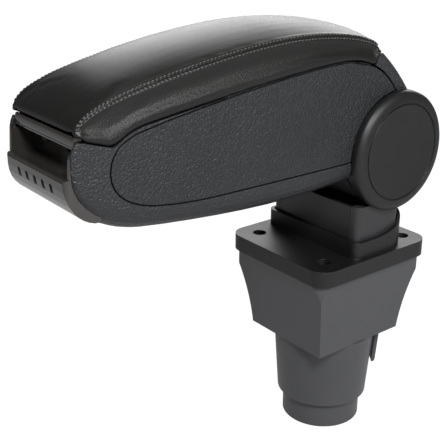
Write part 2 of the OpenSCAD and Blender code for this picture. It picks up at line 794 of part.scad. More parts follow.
module box_shell() {
    color("#3a3b3e") difference() {
        union() {
            difference() {
                box_form();
                box_cavity();
            }
            intersection() {
                at_frame_screws() translate([0, 0, hub_z - 30]) cylinder(r = 5, h = tongue_z - hub_z + 30);
                box_form();
            }
            both_sides() for (x = [hinge_in - 1 - lug_w, hinge_in + hinge_w + 1]) {
                rod_x(lid_barrel_r, x, x + lug_w, pin_y, pin_z);
                block([x, pin_y - lid_barrel_r + 0.4, pin_z - 9], [x + lug_w, pin_y + lid_barrel_r - 0.4, pin_z]);
            }
        }
        pivot_clearance(arm_cut_r);
        trim_pocket(trim_groove);
        block([-bezel_x - 0.2, nose_y - 10, hub_z + lip_low - 0.2], [bezel_x + 0.2, bezel_back_y + 0.2, hub_z + far]);
        intersection() {
            along_x(-far, far) above_edge(flange_t + flange_gap + 0.1);
            arm_column(trim_t + 0.3, tray_front_y - 0.9, deck_y - 0.2, 1);
        }
        block([-tongue_x - 0.5, hub_y - 60, tongue_z - 0.4], [tongue_x + 0.5, hub_y, tongue_z + tongue_t + 0.4]);
        hinge_notches();
        rod_x(lid_pin_r + 0.03, -far, far, pin_y, pin_z);
        at_frame_screws() translate([0, 0, tongue_z - 4.8]) cylinder(r = frame_screw_r + axle_fit, h = 5);
    }
}

module side_trim_right() {
    color("#3f4144") difference() {
        intersection() {
            along_x(arm_nose_x - 8, arm_rear_x + 5) polygon(trim_line);
            arm_column(0, nose_y, hub_y, nose_corner_r);
        }
        arm_column(trim_t - 0.1, nose_y + 2, hub_y + 1, nose_corner_r);
        block([-far, -far, 0], [0, far, far * 2]);
        pivot_clearance(arm_cut_r + 0.6);
    }
}

module side_trim_left() {
    mirror([1, 0, 0]) side_trim_right();
}

lip_low = -1;
lip_corner_r = 4.5;

// Side profile of the gloss front piece, and of the hollow of its lip
lip_outer = concat(
    [[bezel_back_y, hub_z + lip_low]],
    curve([nose(15, lip_low), nose(5, 1.5), nose(-lip_out - 0.2, 10.5), nose(-lip_out, lip_z - 1.6)], 8),
    tail(curve([nose(-lip_out, lip_z - 1.6), nose(-lip_out - 0.1, lip_z + 0.5), nose(2.3, lip_z + 0.9),
        nose(2.8, lip_z - 1.3)], 6)),
    [nose(recess_d, lip_z - 1.3)],
    [nose(recess_d, bezel_top)],
    [[bezel_back_y, hub_z + bezel_top]]);
lip_inner = concat(
    curve([nose(15.5, lip_low + 2.2), nose(6.5, 3.6), nose(bezel_t - lip_out, 11.5), nose(bezel_t - lip_out, lip_z - 3.6)], 6),
    [nose(recess_d, lip_z - 3.6)],
    [nose(recess_d, lip_low + 2.2)]);

hook_x = 9;
hook_w = 5;

module front_bezel() {
    color("#151414") difference() {
        union() {
            intersection() {
                along_x(-bezel_x, bezel_x) polygon(lip_outer);
                linear_extrude(hub_z + far) round_rect(bezel_x, nose_y - lip_out - 0.4, bezel_back_y + 1,
                    lip_corner_r, 0.6);
            }
            both_sides() along_x(bezel_x - bezel_t, bezel_x)
                polygon([nose(0.6, 24), nose(1.6, 36.8), nose(2.4, 39), nose(8.4, 39), nose(9, bezel_top),
                    nose(recess_d, bezel_top), nose(recess_d, 24)]);
        }
        along_x(2 * bezel_t - bezel_x, bezel_x - 2 * bezel_t) polygon(lip_inner);
        for (i = [0:dimple_count - 1]) dimple((i - (dimple_count - 1) / 2) * dimple_pitch);
        both_sides() block([hook_x - 1, nose_y + recess_d - 1, hub_z + 33],
            [hook_x + hook_w + 1, bezel_back_y + 1, hub_z + 38]);
    }
}

module dimple(x) {
    translate([x, nose_y - lip_out + 1.6, hub_z + 16.8]) rotate([72, 0, 0]) linear_extrude(6) {
        translate([0, 1.6]) circle(dimple_r, $fn = 32);
        translate([0, -1.6]) circle(dimple_r, $fn = 32);
        translate([-dimple_r, -1.6]) square([dimple_r * 2, 3.2]);
    }
}

// The tray's hollow or outer form: a flat floor that rises with the belly at the front
module tray_form(inset, low) {
    first = tray_front_y + inset;
    last = tray_rear_y - inset;
    intersection() {
        loft([for (y = concat([first], [for (p = lid_edge) if (p[0] > first + 1 && p[0] < last - 1) p[0]], [last]))
            box_ring(
                y,
                half_w(y) - tray_in - inset,
                max(hub_z + low, lookup(y, belly_line) + box_wall + clear + inset),
                lookup(y, lid_edge) + 20,
                belly_r - box_wall - inset)]);
        arm_column(tray_in - 1, first, last, tray_corner_r - inset);
    }
}

module storage_tray() {
    color("#1b1b1c") difference() {
        union() {
            difference() {
                tray_form(0, tray_floor - tray_t);
                along_x(-far, far) above_edge(flange_gap);
            }
            intersection() {
                along_x(-far, far) difference() {
                    above_edge(flange_gap + flange_t);
                    above_edge(flange_gap);
                }
                arm_column(trim_t + 0.5, tray_front_y - 0.6, deck_y - 0.5, 2);
            }
        }
        tray_form(tray_t, tray_floor);
    }
}

module rear_cover_form(x) {
    difference() {
        union() {
            along_x(-x, x) polygon(concat(
                [for (p = cover_line) if (p[0] > pin_y - 1) p],
                [hub(0, barrel_r + 1.1), hub(-2.2, barrel_r + 3.5), hub(-14, 47), hub(-22, 59.4), [pin_y, pin_z]]));
            intersection() {
                rod_x(cover_nose_r, -x, x, pin_y, pin_z);
                along_x(-far, far) polygon(concat(cover_line, [hub(8, 30), hub(-40, 30), hub(-40, 68.6)]));
            }
            intersection() {
                difference() {
                    rod_x(cap_r + 0.2, -x, x, hub_y, hub_z);
                    rod_x(barrel_r + 0.8, -far, far, hub_y, hub_z);
                }
                along_x(-far, far) polygon([hub(0, 0), hub(-4, 60), hub(20, 60), hub(60, 46)]);
            }
        }
        along_x(-far, far) polygon(concat([[nose_y, pin_z]], shift(rear_edge, 0.3, 0.2), [[nose_y, hub_z]]));
    }
}

module rear_cover() {
    wall = 2;
    x = arm_rear_x - wall;
    inner = [for (p = shift(cover_line, -1.4, -1.9))
        if (p[0] > pin_y + 1 && norm(p - [hub_y, hub_z]) > cap_r + 2.4) p];
    color("#39393a") difference() {
        rear_cover_form(arm_rear_x);
        rod_x(lid_barrel_r + 0.5, -x, x, pin_y, pin_z);
        along_x(-x, x) polygon(concat(inner, [hub(0, cap_r + 2.4)], [hub(-6, 49)],
            [[pin_y - lid_barrel_r, pin_z - 9.8]], [[pin_y - lid_barrel_r, pin_z]]));
        both_sides() block([hinge_in - 0.7, pin_y - 10, pin_z - 12], [hinge_in + hinge_w + 0.7, pin_y + 0.2, pin_z + 10]);
    }
}

module lid_hinge_pin() {
    x = hinge_in + hinge_w + 1 + lug_w;
    color("#8d8f92") rod_x(lid_pin_r, -x, x, pin_y, pin_z);
}

lid_front_y = nose_y + 4.4;
lid_rear_y = hub_y - 17.1;
lid_in = 3;
pan_in = lid_in + 0.9;
pan_front_y = lid_front_y + 2.6;
pan_rear_y = lid_rear_y - 7.5;
pan_line = concat(
    curve([nose(3, 51), nose(25, 53), nose(40, 57), between(edge_step, edge_high, 0.3, 62)], 5),
    tail(curve([between(edge_step, edge_high, 0.3, 62), between(edge_step, edge_high, 0.7, 70),
        hub(-50, 72.5), hub(-19, 66)], 6)));
dome_line = [[nose_y, dome_front * 0.4], [nose_y + 26, dome_front], [nose_y + 80, (dome_front + dome_rear) / 2],
    [hub_y - 95, dome_rear * 0.9], [hub_y - 20, dome_rear]];

// Lower edge of the lid, lifted at the rear so that it turns clear of the rear cover
function lid_low(y) = max(
    lookup(y, lid_edge),
    pin_z + sqrt(max(0, hinge_clear_r * hinge_clear_r - pow(y - pin_y, 2))) - (y < pin_y - hinge_clear_r ? far : 0));

// One ring of the lid: leaning sides from its lower edge to the seams, and a domed top
function lid_ring(y, x_low, low, x_seam, seam, dome) = concat(
    [[x_seam, y, seam], [(x_low + x_seam) / 2 + 0.7, y, (low + seam) / 2], [x_low, y, low]],
    [[-x_low, y, low], [-(x_low + x_seam) / 2 - 0.7, y, (low + seam) / 2], [-x_seam, y, seam]],
    [for (i = [-3:3]) [x_seam * i / 4, y, seam + dome * pow(1 - i * i / 16, 0.8)]]);

function lid_x(y, inset) = plan_x(y, lid_front_y, lid_corner_r, inset)
    - round_off(-y, -lid_rear_y + (inset > 0 ? 1.6 : 0), 5 - inset);
function seam_x(y, more) = lid_x(y, more + lookup(y, [[nose_y + 14, seam_in - 1.6], [nose_y + 27, seam_in - 1.3],
    [nose_y + 44, seam_in - 0.6], [nose_y + 120, seam_in]]));

lid_stations = concat(
    [for (u = [0.1, 0.5, 1.3, 2.6, 4.2]) lid_front_y + u],
    [for (p = lid_edge) if (p[0] > lid_front_y + 4.5 && p[0] < lid_rear_y - 7) p[0]],
    [for (u = [6.3, 5.6, 4.6, 3.6, 2.6, 1.5, 0.7, 0.1]) lid_rear_y - u]);

module lid_space(side, top, below) {
    first = lid_front_y + side + 0.2;
    last = lid_rear_y - side - 0.2;
    loft([for (y = concat([first], [for (s = lid_stations) if (s > first + 1 && s < last - 1) s], [last]))
        lid_ring(
            y,
            lid_x(y, lid_in),
            lookup(y, lid_edge) - below,
            seam_x(y, side),
            lookup(y, seam_line) - top,
            lookup(y, dome_line))]);
}

module latch_clearance(v) {
    block([-bezel_x + 0.6, nose_y - 10, hub_z + 20], [bezel_x - 0.6, nose_y + recess_d + 1, hub_z + v]);
}

module lid_cover() {
    color("#2a2928") difference() {
        loft([for (y = lid_stations) lid_ring(
            y,
            lid_x(y, 0),
            lid_low(y),
            seam_x(y, 0),
            lookup(y, seam_line),
            lookup(y, dome_line))]);
        lid_space(cover_t, cover_t, 8);
        latch_clearance(48.9);
    }
}

module lid_foam() {
    first = lid_front_y + 9;
    last = lid_rear_y - 3.2;
    color("#b9b39a") loft([for (y = concat([first], [for (s = lid_stations) if (s > first + 1 && s < last - 1) s], [last]))
        let (low = lookup(y, pan_line) + clear,
            x = min(lid_x(y, seam_in + 1.4), seam_x(y, cover_t)) - clear)
        lid_ring(y, x, low, x - 0.2, lookup(y, seam_line) - cover_t - clear, lookup(y, dome_line))]);
}

// Side profile of the lid's pan, between its edge and its top
module pan_profile(down) {
    polygon(concat(
        [for (p = lid_edge) if (p[0] > pan_front_y) p],
        [[pan_rear_y, lookup(pan_rear_y, pan_line) - down]],
        flip([for (p = pan_line) if (p[0] < pan_rear_y && p[0] > pan_front_y) [p[0], p[1] - down]]),
        [[pan_front_y, lookup(pan_front_y, pan_line) - down]]));
}

latch_y = nose_y + 9.6;
latch_z = hub_z + 45.3;

module lid_pan() {
    plug_front = tray_front_y + 8;
    plug_rear = tray_rear_y - 6;
    color("#232324") difference() {
        union() {
            difference() {
                intersection() {
                    along_x(-far, far) pan_profile(0);
                    arm_column(pan_in, pan_front_y, pan_rear_y, 4);
                }
                intersection() {
                    along_x(-far, far) union() {
                        pan_profile(pan_t);
                        translate([0, -6]) pan_profile(pan_t);
                    }
                    arm_column(pan_in + pan_t, nose_y + recess_d + 3, pan_rear_y - pan_t, 3);
                }
            }
            difference() {
                intersection() {
                    along_x(-far, far) difference() {
                        pan_profile_low();
                        above_pan();
                    }
                    arm_column(pan_in + 4.2, plug_front, plug_rear, 4);
                }
                arm_column(pan_in + 4.2 + pan_t, plug_front + pan_t, plug_rear - pan_t, 3);
            }
            both_sides() hinge_arm();
            both_sides() latch_lug(hook_x + 19);
        }
        difference() {
            latch_clearance(49);
            both_sides() latch_lug(hook_x + 19);
        }
        rod_x(lid_pin_r + axle_fit, -far, far, pin_y, pin_z);
        rod_x(latch_pin_r + 0.03, -far, far, latch_y, latch_z);
    }
}

module pan_profile_low() {
    polygon(concat(shift(lid_edge, 0, -plug_h), [hub(-24, 90)], [nose(5.3, 90)]));
}

module above_pan() {
    polygon(concat(shift(pan_line, 0, -0.5), [hub(-19, 120)], [nose(3, 120)]));
}

module hinge_arm() {
    low = pin_z - 2.9;
    rod_x(lid_barrel_r, hinge_in, hinge_in + hinge_w, pin_y, pin_z);
    block([hinge_in, pin_y - 17, low], [hinge_in + hinge_w, pin_y, low + 2.6]);
    block([hinge_in, pin_y - 17, low], [hinge_in + hinge_w, pin_y - 13.4, lookup(pin_y - 15, pan_line) - 0.5]);
}

module latch_lug(x) {
    rod_x(2.4, x, x + 3, latch_y, latch_z);
    block([x, latch_y - 1.6, latch_z], [x + 3, latch_y + 2.4, hub_z + 50]);
}

module lid_liner() {
    inset = pan_in + 4.2 + pan_t + 0.2;
    color("#1b1b1c") intersection() {
        along_x(-far, far) difference() {
            above_edge(1);
            above_edge(-0.3);
        }
        arm_column(inset, tray_front_y + 8 + pan_t + 0.2, tray_rear_y - 6 - pan_t - 0.2, 3);
    }
}

module latch_lever() {
    bar_front = nose_y + 5;
    bar_top = 47.6;
    bar_low = bar_top - latch_h;
    bar_x = bezel_x - 1;
    color("#151414") difference() {
        union() {
            intersection() {
                along_x(-bar_x, bar_x) polygon(concat(
                    [[bar_front + 2, hub_z + bar_top], [bar_front + 2, hub_z + bar_low], [bar_front, hub_z + bar_low],
                        [bar_front - 0.2, hub_z + bar_low + 0.9]],
                    curve([[bar_front + 0.2, hub_z + bar_low + 1.2], [bar_front - 0.1, hub_z + bar_low + 3],
                        [bar_front, hub_z + bar_top - 0.6], [bar_front + 1, hub_z + bar_top]], 5)));
                linear_extrude(hub_z + far) round_rect(bar_x, bar_front - 0.5, bar_front + 8, 1.6, 0.5);
            }
            both_sides() along_x(hook_x, hook_x + 18) {
                translate([latch_y, latch_z]) circle(2.2);
                polygon([[bar_front + 1.8, hub_z + 43.8], [latch_y, latch_z - 2], [latch_y, latch_z + 2],
                    [bar_front + 1.8, hub_z + bar_top]]);
            }
            both_sides() along_x(hook_x, hook_x + hook_w) polygon([[latch_y + 0.6, latch_z], nose(12.2, 45),
                nose(13.4, 37), nose(recess_d - clear, 36.6), nose(recess_d - clear, 35.4), nose(14.6, 34.4),
                nose(11.6, 34.4)]);
        }
        rod_x(latch_pin_r + axle_fit, -far, far, latch_y, latch_z);
    }
}

module latch_pin() {
    x = hook_x + 22;
    color("#8d8f92") rod_x(latch_pin_r, -x, x, latch_y, latch_z);
}

spring_turns = 5;
spring_r = 2.1;
spring_wire = 0.35;

module latch_spring() {
    steps = spring_turns * 12;
    sides = 6;
    points = [for (i = [0:steps]) for (j = [0:sides - 1])
        let (a = 30 * i, r = spring_r + spring_wire * cos(60 * j))
            [(hook_x - 1.2) * (2 * i / steps - 1) + spring_wire * sin(60 * j), latch_y + r * cos(a), latch_z + r * sin(a)]];
    walls = [for (i = [0:steps - 1]) for (j = [0:sides - 1])
        let (a = i * sides + j, b = i * sides + (j + 1) % sides) each [[a, a + sides, b + sides], [a, b + sides, b]]];
    ends = [[for (j = [0:sides - 1]) j], [for (j = [sides - 1:-1:0]) steps * sides + j]];
    color("#b5b7ba") polyhedron(points, concat(walls, ends));
}

adapter_housing();
collar_plate();
plate_screws();
post_frame();
post_bolts();
post_nuts();
post_shell_right();
post_shell_left();
shell_screws();
post_front_panel();
post_rear_panel();
pivot_axle();
axle_washers();
axle_nuts();
friction_washers();
stop_pin();
hub_cap_right();
hub_cap_left();
arm_frame();
arm_frame_screws();
box_shell();
side_trim_right();
side_trim_left();
front_bezel();
storage_tray();
rear_cover();
lid_hinge_pin();
lid_pan();
lid_foam();
lid_cover();
lid_liner();
latch_lever();
latch_pin();
latch_spring();
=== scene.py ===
"""A car centre armrest: the looks of its pieces, put together from the foot upwards."""

import math

import bmesh
import bpy
import numpy as np
from mathutils import Matrix, Vector, kdtree
from mathutils.bvhtree import BVHTree


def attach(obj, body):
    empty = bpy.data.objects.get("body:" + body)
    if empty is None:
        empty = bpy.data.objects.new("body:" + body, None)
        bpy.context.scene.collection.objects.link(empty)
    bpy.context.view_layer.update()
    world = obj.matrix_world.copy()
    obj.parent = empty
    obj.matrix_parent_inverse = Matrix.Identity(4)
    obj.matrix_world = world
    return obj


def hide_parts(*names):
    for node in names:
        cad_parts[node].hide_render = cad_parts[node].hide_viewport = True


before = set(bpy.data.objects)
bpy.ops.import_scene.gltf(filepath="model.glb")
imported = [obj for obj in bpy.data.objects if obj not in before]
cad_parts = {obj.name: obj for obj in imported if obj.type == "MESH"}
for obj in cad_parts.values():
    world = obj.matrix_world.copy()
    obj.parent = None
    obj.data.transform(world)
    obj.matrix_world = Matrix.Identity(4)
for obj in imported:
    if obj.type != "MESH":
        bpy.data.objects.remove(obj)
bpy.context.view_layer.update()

# Adapter: one moulding of black-grey satin plastic, with the round foot that stands in the
# cup holder, a square funnel over it and a springy tab beside the cone.


class Wire:
    """A socket of a material's nodes, on which ordinary sums can be written."""

    def __init__(self, tree, socket=None):
        self.tree = tree
        self.socket = socket

    def node(self, kind, inputs=None, out=0, **settings):
        """Add a node with its settings and inputs, and give back one of its outputs."""
        new = self.tree.nodes.new(kind)
        for name, value in settings.items():
            setattr(new, name, value)
        for key, value in (inputs or {}).items():
            if isinstance(value, Wire):
                self.tree.links.new(value.socket, new.inputs[key])
            else:
                new.inputs[key].default_value = value
        return Wire(self.tree, new.outputs[out])

    def sums(self, operation, first, second):
        return self.node("ShaderNodeMath", {0: first, 1: second}, operation=operation)

    def __add__(self, other):
        return self.sums("ADD", self, other)

    def __radd__(self, other):
        return self.sums("ADD", other, self)

    def __sub__(self, other):
        return self.sums("SUBTRACT", self, other)

    def __rsub__(self, other):
        return self.sums("SUBTRACT", other, self)

    def __mul__(self, other):
        return self.sums("MULTIPLY", self, other)

    def __rmul__(self, other):
        return self.sums("MULTIPLY", other, self)

    def __rpow__(self, other):
        return self.sums("POWER", other, self)


def place(tree, stretch=(1, 1, 1)):
    """Where a point of the piece is, in metres, drawn out along its axes."""
    here = Wire(tree).node("ShaderNodeTexCoord", out="Object")
    return here.node("ShaderNodeMapping", {"Vector": here, "Scale": stretch})


def noise(where, size_mm, detail=2.0, rough=0.5):
    """Soft clouds from 0 to 1, with patches of about this size."""
    inputs = {"Vector": where, "Scale": 1000 / size_mm, "Detail": detail, "Roughness": rough}
    return where.node("ShaderNodeTexNoise", inputs)


def pebbles(where, size_mm):
    """Rounded cells of about this size: 0 in the middle of each, and more towards its border."""
    inputs = {"Vector": where, "Scale": 1000 / size_mm}
    return where.node("ShaderNodeTexVoronoi", inputs, feature="SMOOTH_F1")


def tones(where, mask, dark, light):
    """A colour that runs from dark to light with a mask."""
    first, second = 6, 7  # the Mix node's two colour inputs
    inputs = {"Factor": mask, first: (*dark, 1), second: (*light, 1)}
    return where.node("ShaderNodeMix", inputs, out=2, data_type="RGBA")


def surface(name, make, **plain):
    """A material: make() returns what changes over the surface, plain holds what is the same all over."""
    material = bpy.data.materials.new(name)
    material.use_nodes = True
    tree = material.node_tree
    shader = tree.nodes["Principled BSDF"]
    for key, value in plain.items():
        shader.inputs[key.replace("_", " ")].default_value = value
    for key, wire in make(tree).items():
        tree.links.new(wire.socket, shader.inputs[key])
    return material


def bump(height, depth_mm, strength=1.0):
    """Relief on top of edges that are rounded off by half a millimetre, as a moulding's are."""
    edges = height.node("ShaderNodeBevel", {"Radius": 0.0005}, samples=4)
    inputs = {"Height": height, "Distance": depth_mm / 1000, "Strength": strength, "Normal": edges}
    return height.node("ShaderNodeBump", inputs)


def dress(material, *nodes):
    """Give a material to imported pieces, by the names of their nodes."""
    for node in nodes:
        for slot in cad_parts[node].material_slots:
            slot.material = material


def satin(name, dark, light, rough=0.45, grain_mm=0.5, depth_mm=0.02):
    """Moulded plastic with a fine eroded texture and slightly uneven gloss."""

    def make(tree):
        here = place(tree)
        cloud = noise(here, 34, 3)
        fine = noise(here, grain_mm, 3, 0.65)
        return {
            "Base Color": tones(here, cloud, dark, light),
            "Roughness": (cloud - 0.5) * 0.16 + (fine - 0.5) * 0.1 + rough,
            "Normal": bump(fine, depth_mm, 0.6),
        }

    return surface(name, make, IOR=1.48)


dress(satin("adapter_plastic", (0.044, 0.045, 0.049), (0.060, 0.061, 0.066), 0.42), "adapter_housing")

# Plate and collar: a satin black moulding whose rim drops over the adapter's neck. Four dark
# cross-head screws in counterbores hold it down.
dress(satin("plate_plastic", (0.0035, 0.0035, 0.0038), (0.006, 0.006, 0.0064), 0.46), "collar_plate")


def steel(name, dark, light, rough=0.35):
    """Steel with faint marks of turning or brushing."""

    def make(tree):
        here = place(tree)
        brushed = noise(place(tree, (1, 1, 14)), 3, 4, 0.7)
        return {
            "Base Color": tones(here, brushed, dark, light),
            "Roughness": (brushed - 0.5) * 0.2 + rough,
            "Normal": bump(brushed, 0.01, 0.4),
        }

    return surface(name, make, Metallic=1.0)


dress(steel("blackened_steel", (0.05, 0.05, 0.052), (0.09, 0.09, 0.094), 0.4), "plate_screws")

# Post: two satin side shells with round ears over a painted steel frame, and a front and a
# rear panel between them. Bolts hold the frame to the plate, screws hold the shells to the frame.
shell_plastic = satin("post_shell_plastic", (0.017, 0.017, 0.0185), (0.026, 0.026, 0.028), 0.36)
dress(shell_plastic, "post_shell_right", "post_shell_left")
smooth_plastic = satin("post_panel_plastic", (0.011, 0.0098, 0.0094), (0.016, 0.0148, 0.0142), 0.34)
dress(smooth_plastic, "post_front_panel", "post_rear_panel")
dress(satin("frame_paint", (0.06, 0.064, 0.068), (0.085, 0.09, 0.095), 0.5), "post_frame")
zinc = steel("zinc", (0.36, 0.37, 0.38), (0.52, 0.53, 0.55))
dress(zinc, "post_bolts", "post_nuts", "shell_screws")

# Pivot: a zinc-plated axle with washers and nuts, fibre friction washers and a stop pin, with
# a round satin cover disc pressed on at each side.
dress(zinc, "pivot_axle", "axle_washers", "axle_nuts", "stop_pin")
lining = satin("friction_lining", (0.03, 0.029, 0.027), (0.05, 0.048, 0.044), 0.8, 1.2, 0.05)
dress(lining, "friction_washers")
disc_plastic = satin("disc_plastic", (0.004, 0.004, 0.0041), (0.008, 0.008, 0.0081), 0.44)
dress(disc_plastic, "hub_cap_right", "hub_cap_left")

# Arm's casting: the ribbed barrel that turns on the axle and the tongue under the box, both
# painted black, with the zinc-plated screws that hold the box to the tongue.
dress(satin("casting_paint", (0.012, 0.012, 0.013), (0.02, 0.02, 0.021), 0.45, 1.0, 0.04), "arm_frame")
dress(zinc, "arm_frame_screws")

# Box: a moulded tub of dark plastic with a leather-like grain, with a grained panel let into
# each side and a cover strip that curves over the barrel behind the lid.


def grained(name, dark, light, rough=0.34, cell_mm=1.25, depth_mm=0.8):
    """Plastic moulded with small irregular pebbles, as on car trim."""

    def make(tree):
        here = place(tree)
        bend = noise(here, 2.2, 2)
        cells = pebbles(here, cell_mm)
        fine = noise(here, 0.35, 2, 0.6)
        relief = 1 - cells + bend * 0.2 + fine * 0.35
        cloud = noise(here, 40, 3)
        return {
            # Base colour: random clouds of tone, plus a lighter tone on the tops of the pebbles and a darker
            # one in the valleys between them, which is painted highlight and painted shade on the grain.
            "Base Color": tones(here, cloud * 0.4 + bend * 0.3 + (1 - cells) * 0.4, dark, light),
            "Roughness": (fine - 0.5) * 0.14 + (cells - 0.4) * 0.12 + rough,
            "Normal": bump(relief, depth_mm, 0.8),
        }

    return surface(name, make, IOR=1.5)


# The colour ranges of both grained plastics run from painted shade in the valleys between pebbles to painted
# highlight on their tops.
box_plastic = grained("box_plastic", (0.006, 0.0065, 0.0076), (0.019, 0.0206, 0.0236))
dress(box_plastic, "box_shell", "rear_cover")
panel_plastic = grained("panel_plastic", (0.0015, 0.0017, 0.0022), (0.017, 0.0187, 0.0217))
dress(panel_plastic, "side_trim_right", "side_trim_left")

# Front piece: a gloss black moulding with the finger recess and the dimpled lower lip, and
# the latch bar over the recess, of the same plastic.


def gloss(name, colour, rough=0.16):
    """Polished plastic, with the slight waves that moulding leaves in it."""

    def make(tree):
        swirl = noise(place(tree), 9, 3)
        return {
            "Roughness": (swirl - 0.5) * 0.06 + rough,
            "Normal": bump(swirl, 0.02, 0.2),
        }

    return surface(name, make, Base_Color=(*colour, 1), IOR=1.52, Coat_Weight=0.6, Coat_Roughness=0.05)


dress(gloss("gloss_black", (0.026, 0.0235, 0.0215)), "front_bezel", "latch_lever")

# Inside: the storage tray, the lid's pan with its foam and felt liner, and the small steel
# parts of the hinge and latch.
dress(satin("tray_plastic", (0.012, 0.012, 0.012), (0.018, 0.018, 0.018), 0.6), "storage_tray")
dress(satin("pan_plastic", (0.016, 0.016, 0.017), (0.022, 0.022, 0.023), 0.55), "lid_pan")
dress(satin("liner_felt", (0.010, 0.010, 0.011), (0.018, 0.018, 0.019), 0.95, 0.4, 0.2), "lid_liner")
dress(satin("raw_foam", (0.42, 0.38, 0.28), (0.52, 0.48, 0.36), 0.95, 1.5, 0.3), "lid_foam")
dress(zinc, "lid_hinge_pin", "latch_pin", "latch_spring")

# Lid's cushion: moulded foam under black coated leather, sewn from a crown and two side
# strips, and pulled tight round the edge of the lid's pan. Lengths here are in millimetres.
nose_y, pivot_y, pivot_z = -226.0, 15.6, 215.5
lid_front, lid_rear = nose_y + 4.4, pivot_y - 17.1
widest_half, narrows_by, narrows_from = 42.4, 6.2, -10.0
front_corner_r, rear_corner_r = 2.4, 5.0
bar_end, bar_clear_z, bar_slope = nose_y + 9, pivot_z + 48.7, 0.35
nose_end, nose_sill = nose_y + 18.5, pivot_z + 49.0
hinge_y, hinge_z, hinge_clear_r, hinge_from = 1.0, 274.6, 9.6, -8.3
edge_inset, rolled_edge, turned_in, turned_in_nose = 0.4, 1.2, 4.2, 2.4
stitch_pitch, row_off = 2.6, 1.6


def from_nose(u, v):
    return (nose_y + u, pivot_z + v)


def from_pivot(u, v):
    return (pivot_y + u, pivot_z + v)


def part_way(a, b, share, v):
    return (a[0] + (b[0] - a[0]) * share, pivot_z + v)


def outline(*arcs):
    """Heights along the lid, from end to end arcs of four points each."""
    t = np.linspace(0, 1, 25)[:, None]
    points = [
        a * (1 - t) ** 3 + 3 * b * t * (1 - t) ** 2 + 3 * c * t**2 * (1 - t) + d * t**3
        for a, b, c, d in (np.array(arc, float) for arc in arcs)
    ]
    return np.vstack(points)


step, high = from_nose(45, 48.8), from_pivot(-53.6, 65.4)
edge_points = outline(
    (from_nose(5.3, 46.2), from_nose(10, 45.4), from_nose(19, 42), from_nose(26, 40.1)),
    (from_nose(26, 40.1), from_nose(29.5, 40.5), from_nose(33, 46.4), step),
    (step, part_way(step, high, 0.28, 54.8), part_way(step, high, 0.74, 64.5), high),
    (high, from_pivot(-42, 65.8), from_pivot(-31, 63.5), from_pivot(-24, 59.8)),
)
rise, peak = from_nose(26.5, 64.4), from_pivot(-95.6, 83.7)
seam_points = outline(
    (from_nose(4.6, 49.5), from_nose(5.5, 56.5), from_nose(15, 61), rise),
    (rise, part_way(rise, peak, 0.25, 73.2), part_way(rise, peak, 0.66, 81.8), peak),
    (peak, from_pivot(-65.6, 84.4), from_pivot(-26, 80.2), from_pivot(-17, 69.7)),
)
pan_points = outline(
    (from_nose(3, 51), from_nose(25, 53), from_nose(40, 57), part_way(step, high, 0.3, 62)),
    (part_way(step, high, 0.3, 62), part_way(step, high, 0.7, 70), from_pivot(-50, 72.5), from_pivot(-19, 66)),
)

# How high the crown stands over the seam, and how far the seam lies in from the side, along the lid.
dome_points = np.array(
    [(nose_y, 1.6), (nose_y + 26, 4.0), (nose_y + 80, 5.1), (pivot_y - 95, 5.6), (pivot_y - 20, 6.2)]
)
seam_inset = np.array([(nose_y + 14, -0.2), (nose_y + 27, 0.1), (nose_y + 44, 0.8), (nose_y + 120, 1.4)])

# How far the side strip stands out, from its rolled lower edge up to the seam.
side_bulge = (
    (0, -0.4),
    (0.07, 1.1),
    (0.16, 1.5),
    (0.3, 0.5),
    (0.45, -0.9),
    (0.62, -1.3),
    (0.8, -0.9),
    (0.92, -0.3),
)


def height(points, y):
    return float(np.interp(y, points[:, 0], points[:, 1]))


def lid_half_width(y, inset):
    """Half of the lid's width, which narrows towards the nose and is rounded off at both ends."""
    half = widest_half - narrows_by * (max(0.0, narrows_from - y) / (narrows_from - nose_y)) ** 2
    for end, r in ((y - lid_front, front_corner_r), (lid_rear - y, rear_corner_r)):
        if end < r:
            half -= r - math.sqrt(max(0.0, r * r - (r - end) ** 2))
    return half - inset


def lid_bottom(y):
    """Lower edge of the side: over the latch bar's end, and round the hinge at the rear."""
    low = height(edge_points, y)
    if y < bar_end:
        low = max(low, bar_clear_z - bar_slope * (y - lid_front))
    if y > hinge_from:
        low = max(low, hinge_z + math.sqrt(max(0.0, hinge_clear_r**2 - (y - hinge_y) ** 2)))
    return low


def lid_sill(y):
    """Underside just inside the lower edge, which stays over the latch at the nose."""
    return max(lid_bottom(y), nose_sill) if y < nose_end else lid_bottom(y)


def lid_section(y):
    """Right half of the cushion's section, from the middle of its underside to that of its crown."""
    low, top, dome = lid_bottom(y), height(seam_points, y), height(dome_points, y)
    roof = max(height(pan_points, y) + 0.6, lid_sill(y) + 0.3) if y < hinge_from else low + 0.2
    roof = min(roof, top - 1)
    wide, slim = lid_half_width(y, edge_inset), lid_half_width(y, height(seam_inset, y))
    inner = max(wide - (turned_in_nose if y < nose_end else turned_in), 1)
    under = [(0, roof), (inner, roof), (inner, low + 0.1), (wide - rolled_edge, low - 0.1)]
    side = [(wide + (slim - wide) * t + out, low + (top - low) * t) for t, out in side_bulge]
    crown = [(slim * c, top + dome * (1 - c**2.4)) for c in (1, 0.94, 0.82, 0.64, 0.44, 0.22, 0)]
    return under + side + crown


def lid_ring(y):
    """The whole section, in metres."""
    half = lid_section(y)
    left = [(-x, z) for x, z in reversed(half[1:-1])]
    return [Vector((x, y, z)) / 1000 for x, z in half + left]


